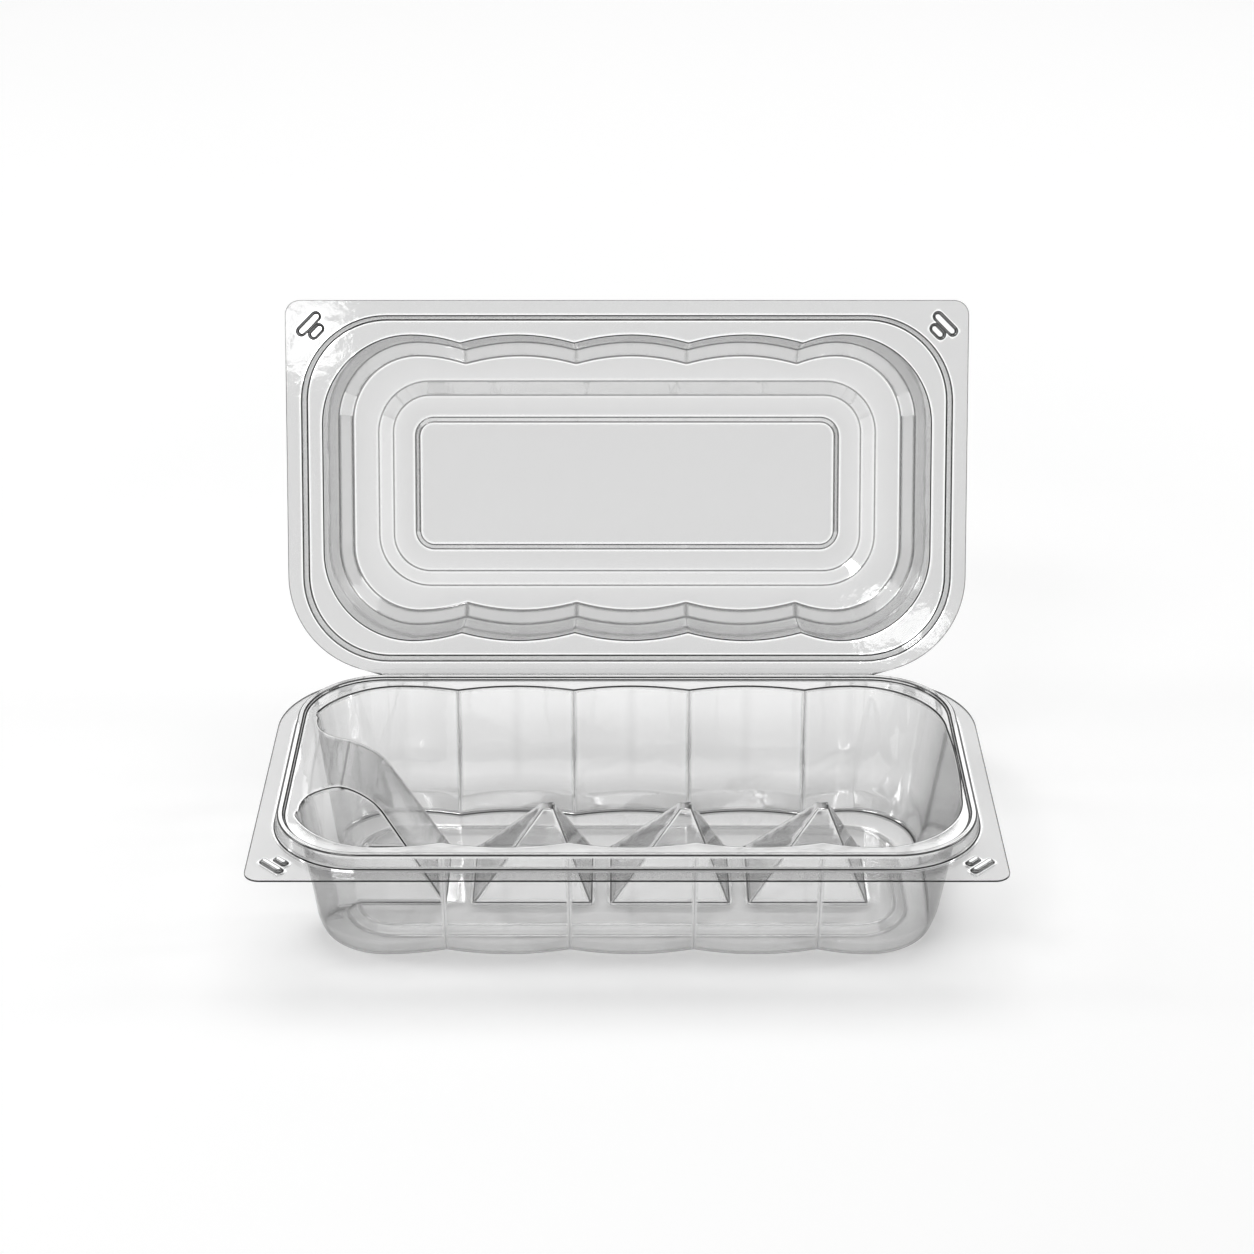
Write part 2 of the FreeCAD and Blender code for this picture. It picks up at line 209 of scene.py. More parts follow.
# Snap buttons: oblong bosses with round ends across the free corners
buttons = {
    "inset": 7.9, "length": 8.8, "width": 1.9, "step": 3.6, "shortLength": 4.6,
    "trayHeight": 0.9, "lidHeight": 1.2, "lidGrow": 0.3, "lean": 0.25, "edge": 0.4, "base": 0.35,
    "near": 3, "turns": 13,
    "rows": (1.6, 1.1, 0.8, 0.55, 0.38, 0.25, 0.15, 0.05, -0.05, -0.2, -0.38, -0.6),
}


def buttonSpots(grow):
    spots = []
    for sign in (-1, 1):
        for number, length in enumerate((buttons["length"], buttons["shortLength"])):
            inset = buttons["inset"] + number * buttons["step"] / math.sqrt(2)
            x, y = sign * (pack["length"] / 2 - inset), -pack["depth"] + inset
            radius = buttons["width"] / 2 + grow
            spots.append((x, y, sign * math.pi / 4, length / 2 + grow - radius, radius))
    return spots


def buttonAway(spot, x, y):
    cx, cy, angle, reach, radius = spot
    u = (x - cx) * math.cos(angle) + (y - cy) * math.sin(angle)
    v = -(x - cx) * math.sin(angle) + (y - cy) * math.cos(angle)
    return np.hypot(np.maximum(np.abs(u) - reach, 0), v) - radius


def buttonHills(g, x, y, z, base, height, grow):
    for spot in buttonSpots(grow):
        away = buttonAway(spot, x, y)
        near = away < buttons["near"]
        side = slopeFace(-away[near], z[near], (-buttons["lean"], base), (0, base + height))
        hill = foldOver(z[near] - base - height, side, buttons["edge"])
        g[near] = foldIn(g[near], hill, buttons["base"])
    return g


def buttonLines(grow):
    lines = []
    for cx, cy, angle, reach, radius in buttonSpots(grow):
        for offset in buttons["rows"]:
            r = radius + offset
            around = []
            for sign in (1, -1):
                for a in np.radians(np.linspace(-90, 90, buttons["turns"])):
                    around.append((sign * (reach + r * math.cos(a)), sign * r * math.sin(a)))
            around = np.array(around)
            u, v = around[:, 0], around[:, 1]
            lines.append(np.c_[cx + u * math.cos(angle) - v * math.sin(angle),
                               cy + u * math.sin(angle) + v * math.cos(angle)])
    return lines


def normalAt(surface, x, y, z, h):
    slope = np.c_[surface(x + h, y, z) - surface(x - h, y, z),
                  surface(x, y + h, z) - surface(x, y - h, z),
                  surface(x, y, z + h) - surface(x, y, z - h)]
    return slope / np.maximum(np.linalg.norm(slope, axis=1), 1e-9)[:, None]


# How much the sheet turns within a given distance of a point
def bendAt(surface, x, y, z, reach, gain):
    spot, most = np.c_[x, y, z], 0
    for step in np.eye(3) * reach:
        ahead = normalAt(surface, *(spot + step).T, foldPaint["turnStep"])
        behind = normalAt(surface, *(spot - step).T, foldPaint["turnStep"])
        most = np.maximum(most, np.linalg.norm(ahead - behind, axis=1))
    return np.clip(most * gain, 0, 1)


# Thermoformed clear PET: glass-clear and glossy, greyer where the eye looks along the sheet.
# A fold gets a painted dark shade line, with paler lines of painted white highlight beside it.
clearPet = {
    "trayFace": "#FDFDFD", "lidFace": "#EAEAEA", "trayEdge": "#D0D0D0", "lidEdge": "#B4B4B4",
    "trayEdgePower": 1.2, "lidEdgePower": 5.0, "foldPaintedShade": "#202020", "paintedHighlight": "#FFFFFF",
    "trayPaintedHighlight": 0.45, "lidPaintedHighlight": 0.08, "gloss": 0.04, "edgeGloss": 0.7, "glossPower": 5.0,
    "foldGloss": 0.75, "roughness": 0.04, "waveSize": 14.0, "waveDepth": 0.11, "waveDetail": 4.0,
    "shadeLess": 0.75, "footShade": "#6C6C6C", "footHeight": 20.0, "footLine": 0.65,
    "footLineFrom": 1.2, "uprightBelow": 0.6, "touchingBelow": 0.97,
}


# Plan lines joined by triangles that all turn the same way
def planTriangles(closed, opened, clouds):
    points, edges = [], []
    for line, loop in [(line, True) for line in closed] + [(line, False) for line in opened]:
        first = len(points)
        points.extend(Vector(p) for p in line)
        edges.extend((first + n, first + n + 1) for n in range(len(line) - 1))
        if loop:
            edges.append((len(points) - 1, first))
    points.extend(Vector(p) for cloud in clouds for p in cloud)
    verts, _, faces, _, _, _ = delaunay_2d_cdt(points, edges, [], 1, drawing["mergeWithin"], False)
    plan, face = np.array([v[:] for v in verts]), np.array([f[:] for f in faces])
    across = plan[face[:, 1]] - plan[face[:, 0]], plan[face[:, 2]] - plan[face[:, 0]]
    turned = across[0][:, 0] * across[1][:, 1] - across[0][:, 1] * across[1][:, 0] < 0
    face[turned] = face[turned][:, ::-1]
    return plan, face


# Height of a surface over points of the plan, found by halving
def heightAt(surface, x, y, bottom, top, halvings):
    low, high = np.full(len(x), bottom), np.full(len(x), top)
    for _ in range(halvings):
        middle = (low + high) / 2
        above = surface(x, y, middle) > 0
        low, high = np.where(above, low, middle), np.where(above, middle, high)
    return low


# What is painted at each point: painted shade and painted highlight lines at the folds, a painted
# shade line along the foot where it touches the floor, and the low part of the outer wall
def foldValues(surface, spot, slope, bottom, footRing):
    x, y, z = spot.T
    dark = bendAt(surface, x, y, z, foldPaint["darkReach"], foldPaint["darkGain"])
    wide = bendAt(surface, x, y, z, foldPaint["brightReach"], foldPaint["brightGain"])
    bright, foot = np.clip(wide - dark, 0, 1), np.zeros(len(x))
    if footRing:
        outer = insetAt(footRing, x, y) < -1
        upright = (np.abs(slope[:, 2]) < clearPet["uprightBelow"]) & outer
        foot = upright * np.clip(1 - (z - bottom) / clearPet["footHeight"], 0, 1)
        # Painted shade: a dark line along the low outer foot, where it meets the floor
        touching = outer & (slope[:, 2] < clearPet["touchingBelow"])
        risen = (z - z.min()) / clearPet["footLine"]
        line = touching * np.clip(clearPet["footLineFrom"] - risen, 0, 1)
        dark, bright = np.maximum(dark, line), bright * (1 - line)
    return dark, bright, foot


# A formed sheet: the plan lifted to the formed surface, a second skin one thickness above it
# (up 1) or below it (up -1), and walls between their rims. A piece with a foot is painted on both
# skins, any other one only on the formed skin.
def formedSheet(name, surface, lines, sheet, place, bottom, top, up, footRing=None):
    plan, face = planTriangles(*lines)
    x, y = plan.T
    z = heightAt(surface, x, y, bottom, top, drawing["halvings"])
    slope = normalAt(surface, x, y, z, foldPaint["normalStep"])
    skin = np.c_[x, y, z]
    other = skin + slope * sheet * up
    count = len(skin)
    sides = {}
    for a, b, c in face:
        for pair in ((a, b), (b, c), (c, a)):
            if (pair[1], pair[0]) in sides:
                del sides[(pair[1], pair[0])]
            else:
                sides[pair] = True
    upper, lower = (other, skin) if up > 0 else (skin, other)
    polygons = [tuple(f) for f in face] + [tuple(count + i for i in f[::-1]) for f in face]
    polygons += [(a, count + a, count + b, b) for a, b in sides]
    mesh = bpy.data.meshes.new(name)
    mesh.from_pydata(np.concatenate([upper, lower]).tolist(), [], polygons)
    mesh.transform(place)
    mesh.shade_smooth()
    turn = np.array(place.to_3x3().normalized())
    normals = np.concatenate([slope, -slope]) @ turn.T
    mesh.normals_split_custom_set_from_vertices(normals.tolist())
    rim = list({n for pair in sides for n in pair})
    painted = zip(("foldDark", "foldBright", "footWall"), (1.0, 0.0, 0.0),
                  foldValues(surface, skin, slope, bottom, footRing))
    for label, edge, values in painted:
        plain = values.copy() if footRing else np.zeros(count)
        # The cut rim of the sheet is painted as a dark shade line, with no painted highlight
        values[rim] = plain[rim] = edge
        both = np.concatenate((plain, values) if up > 0 else (values, plain))
        mesh.attributes.new(label, "FLOAT", "POINT").data.foreach_set("value", both)
    mesh.update()
    piece = bpy.data.objects.new(name, mesh)
    bpy.context.scene.collection.objects.link(piece)
    print(name, "points", count, "triangles", 2 * len(face) + 2 * len(sides))
    return piece


# Tray: 0.5 mm sheet, rim, fluted walls, foot ring, raised floor, pyramids, ramp and shelf
tray = {
    "sheet": 0.5, "flangeTop": -0.15, "rimTop": 4.45, "rimDraft": 1.0, "beadWidth": 1.9,
    "beadLean": 0.35, "landZ": 3.45, "wallDraft": 5.6, "kneeZ": -35.0, "footRun": 2.2,
    "footZ": -40.8, "floorZ": -38.8, "floorRun": 3.4, "lowest": -42.0, "highest": 6.0,
    "rounds": {"rimBase": 0.3, "rimEdge": 0.4, "beadEdge": 0.35, "land": 0.3, "wallTop": 0.4,
               "knee": 0.6, "foot": 0.8, "floorBase": 0.2, "floorEdge": 0.2},
    "rim": {"side": 5.9, "end": 5.9, "corner": 28.0},
    "wall": {"side": 13.2, "end": 9.7, "corner": 29.0, "flutes": 2.7, "bow": 1.0},
    "floor": {"side": 30.95, "end": 25.6, "corner": 16.4},
}
pyramids = {
    "firstX": -30.4, "pitch": 44.2, "count": 3, "length": 37.9, "width": 34.0, "height": 27.3,
    "lean": 5.2, "tip": 2.6, "edge": 0.5, "foot": 0.25, "top": 0.9,
    "footRows": (1.4, 0.65, 0.45, 0.3, 0.16, 0.05, -0.05, -0.12, -0.2, -0.32, -0.6),
    "heights": (0.15, 0.3, 0.45, 0.6, 0.75, 0.88), "longPoints": 18, "widePoints": 16,
    "edgeRows": (-0.8, -0.5, -0.3, -0.15, 0, 0.15, 0.3, 0.5, 0.8), "edgePoints": 18,
    "edgeShare": 0.97,
}
ramp = {
    "footX": -58.1, "angle": 60.0, "width": 33.9, "draft": 3.0, "flareX": -87.0,
    "flareRadius": 14.0, "flareTurn": 78.0, "edge": 0.4, "brow": 10.0, "pocketRound": 6.0,
    "browRise": 0.3, "browReach": 7, "browPoints": 44, "browHalvings": 24,
    "topRows": (-2, -0.76, -0.5, -0.3, -0.15, -0.04, 0.03, 0.08),
    "sideParts": (0.1, 0.2, 0.3, 0.4, 0.5, 0.75),
    "baseRows": (-0.12, -0.06, -0.03, -0.012, 0.01, 0.05, 0.1, 0.18, 0.3, 0.45, 0.62, 0.9, 1.3),
    "browRows": (-1.1, -0.8, -0.55, -0.38, -0.24, -0.12, -0.04, 0.01, 0.03, 0.06, 0.12),
    "footLines": (-0.4, -0.25, -0.14, -0.05, 0.05, 0.17, 0.3, 0.45, 0.7),
    "topLines": (-0.8, -0.5, -0.32, -0.18, -0.05, 0.05, 0.13, 0.22, 0.35),
    "points": 20, "turns": 30, "turnTo": 88, "linePoints": 18,
    "cloudX": (-105.8, -95.0), "cloudY": (19.0, 37.0), "cloudStep": 0.38,
}


def pyramidHill(number, x, y, z):
    base = tray["floorZ"]
    cx = pyramids["firstX"] + number * pyramids["pitch"]
    tipX, height, tip = cx + pyramids["lean"], pyramids["height"], pyramids["tip"] / 2
    halfL, halfW = pyramids["length"] / 2, pyramids["width"] / 2
    left = slopeFace(x, z, (cx - halfL, base), (tipX - tip, base + height))
    right = slopeFace(x, z, (cx + halfL, base), (tipX + tip, base + height))
    sides = slopeFace(np.abs(y - midY), z, (halfW, base), (tip, base + height))
    body = foldOver(foldOver(left, right, pyramids["edge"]), sides, pyramids["edge"])
    return foldOver(body, z - base - height, pyramids["top"])


def rampHill(x, y, z):
    ay = np.abs(y - midY)
    drop = math.tan(math.radians(ramp["draft"])) * (z - tray["floorZ"])
    half = ramp["width"] / 2 - drop
    centre = ramp["width"] / 2 + ramp["flareRadius"]
    radius = centre - half
    wide = centre - radius * math.cos(math.radians(ramp["flareTurn"]))
    flare = np.maximum(radius - np.hypot(x - ramp["flareX"], ay - centre), ay - wide)
    side = np.where(x < ramp["flareX"], flare, ay - half)
    angle = math.radians(ramp["angle"])
    front = (x - ramp["footX"]) * math.sin(angle) + (z - tray["floorZ"]) * math.cos(angle)
    brow = foldOver(front, z - tray["landZ"] - ramp["browRise"], ramp["brow"])
    return foldOver(side, brow, ramp["edge"])


def traySurface(x, y, z):
    p, q = insetAt(tray["rim"], x, y), insetAt(tray["wall"], x, y)
    draft, bead = tray["rimDraft"], tray["rimDraft"] + tray["beadWidth"]
    rimTop, landZ, kneeZ, r = tray["rimTop"], tray["landZ"], tray["kneeZ"], tray["rounds"]
    rimFace = slopeFace(p, z, (0, tray["flangeTop"]), (draft, rimTop))
    beadFace = slopeFace(p, z, (bead + tray["beadLean"], landZ), (bead, rimTop))
    land = foldIn(foldOver(z - rimTop, beadFace, r["beadEdge"]), z - landZ, r["land"])
    g = foldIn(foldOver(rimFace, land, r["rimEdge"]), z - tray["flangeTop"], r["rimBase"])
    wallFace = slopeFace(q, z, (tray["wallDraft"], kneeZ), (0, landZ))
    wallFace = foldIn(wallFace, rampHill(x, y, z), ramp["pocketRound"])
    footFace = slopeFace(q, z, (tray["wallDraft"] + tray["footRun"], tray["footZ"]),
                         (tray["wallDraft"], kneeZ))
    inside = foldIn(foldIn(wallFace, footFace, r["knee"]), z - tray["footZ"], r["foot"])
    f = insetAt(tray["floor"], x, y)
    floorFace = slopeFace(f, z, (0, tray["footZ"]), (tray["floorRun"], tray["floorZ"]))
    floor = foldOver(floorFace, z - tray["floorZ"], r["floorEdge"])
    inside = foldIn(inside, floor, r["floorBase"])
    for number in range(pyramids["count"]):
        inside = foldIn(inside, pyramidHill(number, x, y, z), pyramids["foot"])
    g = foldOver(g, inside, r["wallTop"])
    return buttonHills(g, x, y, z, tray["flangeTop"], buttons["trayHeight"], 0)


def boxLine(cx, halfL, halfW, offset):
    long, wide = pyramids["longPoints"], pyramids["widePoints"]
    xs = np.linspace(cx - halfL - offset, cx + halfL + offset, long)
    ys = np.linspace(midY - halfW - offset, midY + halfW + offset, wide)
    return np.concatenate([
        np.c_[xs, np.full(long, ys[0])], np.c_[np.full(wide - 2, xs[-1]), ys[1:-1]],
        np.c_[xs[::-1], np.full(long, ys[-1])], np.c_[np.full(wide - 2, xs[0]), ys[1:-1][::-1]],
    ])


def pyramidLines():
    closed, opened = [], []
    halfL, halfW, tip = pyramids["length"] / 2, pyramids["width"] / 2, pyramids["tip"] / 2
    for number in range(pyramids["count"]):
        cx = pyramids["firstX"] + number * pyramids["pitch"]
        tipX = cx + pyramids["lean"]
        closed += [boxLine(cx, halfL, halfW, offset) for offset in pyramids["footRows"]]
        for part in pyramids["heights"]:
            inner = cx + pyramids["lean"] * part
            lessL, lessW = (tip - halfL) * part, (tip - halfW) * part
            closed.append(boxLine(inner, halfL + lessL, halfW + lessW, 0))
        for sx, sy in ((-1, -1), (-1, 1), (1, -1), (1, 1)):
            foot = np.array((cx + sx * halfL, midY + sy * halfW))
            along = np.array((tipX + sx * tip, midY + sy * tip)) - foot
            across = np.array((-along[1], along[0])) / np.linalg.norm(along)
            parts = np.linspace(0, pyramids["edgeShare"], pyramids["edgePoints"])[:, None]
            opened += [foot + along * parts + across * offset for offset in pyramids["edgeRows"]]
    return closed, opened


def rampLines():
    opened = []
    grow = math.tan(math.radians(ramp["draft"]))
    footX, flareX, halfLow = ramp["footX"], ramp["flareX"], ramp["width"] / 2
    rise = tray["landZ"] - tray["floorZ"]
    halfHigh = halfLow - grow * rise
    centre = halfLow + ramp["flareRadius"]
    topX = footX - rise / math.tan(math.radians(ramp["angle"]))
    rows = [(halfHigh + o, topX + 1) for o in ramp["topRows"]]
    rows += [(halfHigh + (halfLow - halfHigh) * part, footX) for part in ramp["sideParts"]]
    rows += [(halfLow + o, footX + 1) for o in ramp["baseRows"]]
    turn = np.radians(np.linspace(0, ramp["turnTo"], ramp["turns"]))
    for sign in (-1, 1):
        for half, reach in rows:
            radius = centre - half
            arcX = flareX - radius * np.sin(turn)
            arcY = centre - radius * np.cos(turn)
            xs = np.concatenate([np.linspace(reach, flareX, ramp["points"]), arcX[1:]])
            ys = np.concatenate([np.full(ramp["points"], half), arcY[1:]])
            opened.append(np.c_[xs, midY + sign * ys])
        # Along the edge between the ramp's rounded brow and its sides
        xs = np.linspace(footX, topX - ramp["browReach"], ramp["browPoints"])
        brow = heightAt(rampHill, xs, np.full(len(xs), midY), tray["lowest"], tray["highest"],
                        ramp["browHalvings"])
        ys = halfLow - grow * (np.minimum(brow, tray["landZ"]) - tray["floorZ"])
        opened += [np.c_[xs, midY + sign * (ys + offset)] for offset in ramp["browRows"]]
    ys = midY + np.linspace(-halfLow, halfLow, ramp["linePoints"])
    for start, offsets in ((footX, ramp["footLines"]), (topX, ramp["topLines"])):
        opened += [np.c_[np.full(len(ys), start + offset), ys] for offset in offsets]
    step = ramp["cloudStep"]
    cloud = [(x, midY + sign * y) for sign in (-1, 1)
             for x in np.arange(*ramp["cloudX"], step) for y in np.arange(*ramp["cloudY"], step)]
    return opened, cloud


# Plan lines of the flange's edge: three rows, so that the edge stays crisp
def edgeLines():
    return [flangeLine(inward) for inward in (0.0, 0.25, 0.5)]


def trayLines():
    bead, flat, foot = tray["rimDraft"] + tray["beadWidth"], tray["flangeTop"], tray["footZ"]
    draft, landZ, run = tray["wallDraft"], tray["landZ"], tray["floorRun"]
    rimSection = [(-3, flat), (0, flat), (tray["rimDraft"], tray["rimTop"]), (bead, tray["rimTop"]),
                  (bead + tray["beadLean"], landZ), (bead + 2, landZ)]
    low = draft + tray["footRun"]
    wallSection = [(-2.5, landZ), (0, landZ), (draft, tray["kneeZ"]), (low, foot), (low + 3, foot)]
    floorSection = [(-3, foot), (0, foot), (run, tray["floorZ"]), (run + 4, tray["floorZ"])]
    closed = edgeLines()
    closed += [ringLine(tray["rim"], inset) for inset in sectionInsets(rimSection)]
    closed += [ringLine(tray["wall"], inset) for inset in sectionInsets(wallSection)]
    closed += [ringLine(tray["floor"], inset, 14) for inset in sectionInsets(floorSection)]
    boxes, edges = pyramidLines()
    slopes, cloud = rampLines()
    return closed + buttonLines(0) + boxes, edges + slopes, [cloud]


traySheet = formedSheet("tray_body", traySurface, trayLines(), tray["sheet"], trayPlace,
                        tray["lowest"], tray["highest"], -1, tray["floor"])


# Lid: 0.32 mm sheet, step over the rim, fluted dome, shoulder, ledge, plateau and label panel
lid = {
    "sheet": 0.32, "flangeZ": 0.15, "stepZ": 4.95, "stepDraft": 1.2, "domeZ": 33.5,
    "domeDraft": 2.2, "shoulderRun": 4.75, "topZ": 37.6, "plateauZ": 39.9, "plateauRun": 4.9,
    "panelDrop": 1.0, "panelRun": 1.6, "plateauReach": 3, "lowest": -1.0, "highest": 42.0,
    "rounds": {"stepBase": 0.3, "stepEdge": 0.3, "domeBase": 0.35, "shoulder": 0.25, "domeTop": 0.2,
               "plateau": 0.12, "panel": 0.12},
    "step": {"side": 5.3, "end": 5.3, "corner": 28.7},
    "dome": {"side": 11.8, "end": 11.8, "corner": 30.0, "flutes": 2.7},
    "plateau": {"side": 27.7, "end": 27.7, "corner": 18.0},
    "panel": {"side": 40.4, "end": 40.4, "corner": 6.6},
}


def lidSurface(x, y, z):
    s, d = insetAt(lid["step"], x, y), insetAt(lid["dome"], x, y)
    t, n = insetAt(lid["plateau"], x, y), insetAt(lid["panel"], x, y)
    r = lid["rounds"]
    stepFace = slopeFace(s, z, (0, lid["flangeZ"]), (lid["stepDraft"], lid["stepZ"]))
    step = foldOver(stepFace, z - lid["stepZ"], r["stepEdge"])
    domeFace = slopeFace(d, z, (0, lid["stepZ"]), (lid["domeDraft"], lid["domeZ"]))
    shoulder = slopeFace(d, z, (lid["domeDraft"], lid["domeZ"]),
                         (lid["domeDraft"] + lid["shoulderRun"], lid["topZ"]))
    dome = foldOver(foldOver(domeFace, shoulder, r["shoulder"]), z - lid["topZ"], r["domeTop"])
    plateauFace = slopeFace(t, z, (0, lid["topZ"]), (lid["plateauRun"], lid["plateauZ"]))
    plateau = foldOver(plateauFace, z - lid["plateauZ"], r["plateau"])
    plateau = np.maximum(plateau, -t - lid["plateauReach"])
    g = foldIn(foldIn(z - lid["flangeZ"], step, r["stepBase"]), dome, r["domeBase"])
    g = foldIn(g, plateau, r["plateau"])
    panelZ = lid["plateauZ"] - lid["panelDrop"]
    panelFace = slopeFace(n, z, (lid["panelRun"], panelZ), (0, lid["plateauZ"]))
    g = foldOver(g, foldIn(panelFace, z - panelZ, r["panel"]), r["panel"])
    return buttonHills(g, x, y, z, lid["flangeZ"], buttons["lidHeight"], buttons["lidGrow"])


def lidLines():
    flat, stepZ, topZ, rise = lid["flangeZ"], lid["stepZ"], lid["topZ"], lid["plateauZ"]
    draft, low = lid["domeDraft"], lid["plateauZ"] - lid["panelDrop"]
    stepSection = [(-3, flat), (0, flat), (lid["stepDraft"], stepZ), (5, stepZ)]
    shoulder, slope, panel = draft + lid["shoulderRun"], lid["plateauRun"], lid["panelRun"]
    domeSection = [(-3, stepZ), (0, stepZ), (draft, lid["domeZ"]), (shoulder, topZ),
                   (shoulder + 4, topZ)]
    plateauSection = [(-4, topZ), (0, topZ), (slope, rise), (slope + 4, rise)]
    panelSection = [(-4, rise), (0, rise), (panel, low), (panel + 4, low)]
    closed = edgeLines()
    closed += [ringLine(lid["step"], inset) for inset in sectionInsets(stepSection)]
    closed += [ringLine(lid["dome"], inset) for inset in sectionInsets(domeSection)]
    closed += [ringLine(lid["plateau"], inset, 16) for inset in sectionInsets(plateauSection)]
    closed += [ringLine(lid["panel"], inset, 10) for inset in sectionInsets(panelSection)]
    closed += buttonLines(buttons["lidGrow"])
    return closed, [], []


lidSheet = formedSheet("lid_body", lidSurface, lidLines(), lid["sheet"], lidPlace,
                       lid["lowest"], lid["highest"], 1)

# Living hinge: a thin web of the same sheet, bent between the two flanges
hinge = {
    "sheet": 0.22, "reach": 1.0, "bendFrom": 0.6, "pull": 0.7, "steps": 11, "length": 166.6,
    "points": 60, "bright": 0.15, "blend": (0.0, 0.0004, 0.0003),
}


def hingeStrip():
    turn = math.radians(-pack["openAngle"])

    def swung(y, z):
        return np.array((y * math.cos(turn) - z * math.sin(turn),
                         y * math.sin(turn) + z * math.cos(turn)))

    trayMid = tray["flangeTop"] - tray["sheet"] / 2
    lidMid = lid["flangeZ"] + lid["sheet"] / 2
    relief, reach, bend = pack["hingeRelief"], hinge["reach"], hinge["bendFrom"]
    near, far = np.array((-relief, trayMid)), swung(-relief, lidMid)
    leave, arrive = np.array((hinge["pull"], 0)), hinge["pull"] * swung(-1, 0)
    middle = [np.array((-reach, trayMid)), np.array((-bend, trayMid))]
    for t in np.linspace(0, 1, hinge["steps"]):
        middle.append((2 * t ** 3 - 3 * t ** 2 + 1) * near + (t ** 3 - 2 * t ** 2 + t) * leave
                      + (3 * t ** 2 - 2 * t ** 3) * far + (t ** 3 - t ** 2) * arrive)
    middle = np.array(middle + [swung(-bend, lidMid), swung(-reach, lidMid)])
    along = np.gradient(middle, axis=0)
    along /= np.linalg.norm(along, axis=1)[:, None]
    across = np.c_[-along[:, 1], along[:, 0]] * hinge["sheet"] / 2
    loop = np.concatenate([middle + across, (middle - across)[::-1]])
    xs = np.linspace(-hinge["length"] / 2, hinge["length"] / 2, hinge["points"])
    n = len(loop)
    verts = [(x, y, z) for x in xs for y, z in loop]
    faces = [(i * n + j, (i + 1) * n + j, (i + 1) * n + (j + 1) % n, i * n + (j + 1) % n)
             for i in range(len(xs) - 1) for j in range(n)]
    for first, flip in ((0, False), ((len(xs) - 1) * n, True)):
        for j in range(n // 2 - 1):
            quad = (first + j, first + j + 1, first + n - 2 - j, first + n - 1 - j)
            faces.append(quad[::-1] if flip else quad)
    mesh = bpy.data.meshes.new("living_hinge")
    mesh.from_pydata(verts, [], faces)
    mesh.transform(trayPlace)
    mesh.shade_smooth()
    # The strip carries a faint painted highlight all over and no painted shade
    for label, value in (("foldDark", 0.0), ("foldBright", hinge["bright"])):
        values = np.full(len(verts), value)
        mesh.attributes.new(label, "FLOAT", "POINT").data.foreach_set("value", values)
    piece = bpy.data.objects.new("living_hinge", mesh)
    bpy.context.scene.collection.objects.link(piece)
    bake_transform(piece)
    print("living hinge done")
    return piece


hingePiece = hingeStrip()

for piece, body in ((traySheet, "tray"), (lidSheet, "lid")):
    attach(piece, body)
    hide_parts(body)


def linear(hexColour):
    values = [int(hexColour[i:i + 2], 16) / 255 for i in (1, 3, 5)]
    return [v / 12.92 if v <= 0.04045 else ((v + 0.055) / 1.055) ** 2.4 for v in values] + [1.0]


def addNode(tree, kind, settings=None, inputs=None, links=None):
    node = tree.nodes.new(kind)
    for key, value in (settings or {}).items():
        setattr(node, key, value)
    for key, value in (inputs or {}).items():
        node.inputs[key].default_value = value
    for key, socket in (links or {}).items():
        tree.links.new(socket, node.inputs[key])
    return node


def newMaterial(name):
    material = bpy.data.materials.new(name)
    material.use_nodes = True
    material.node_tree.nodes.clear()
    return material
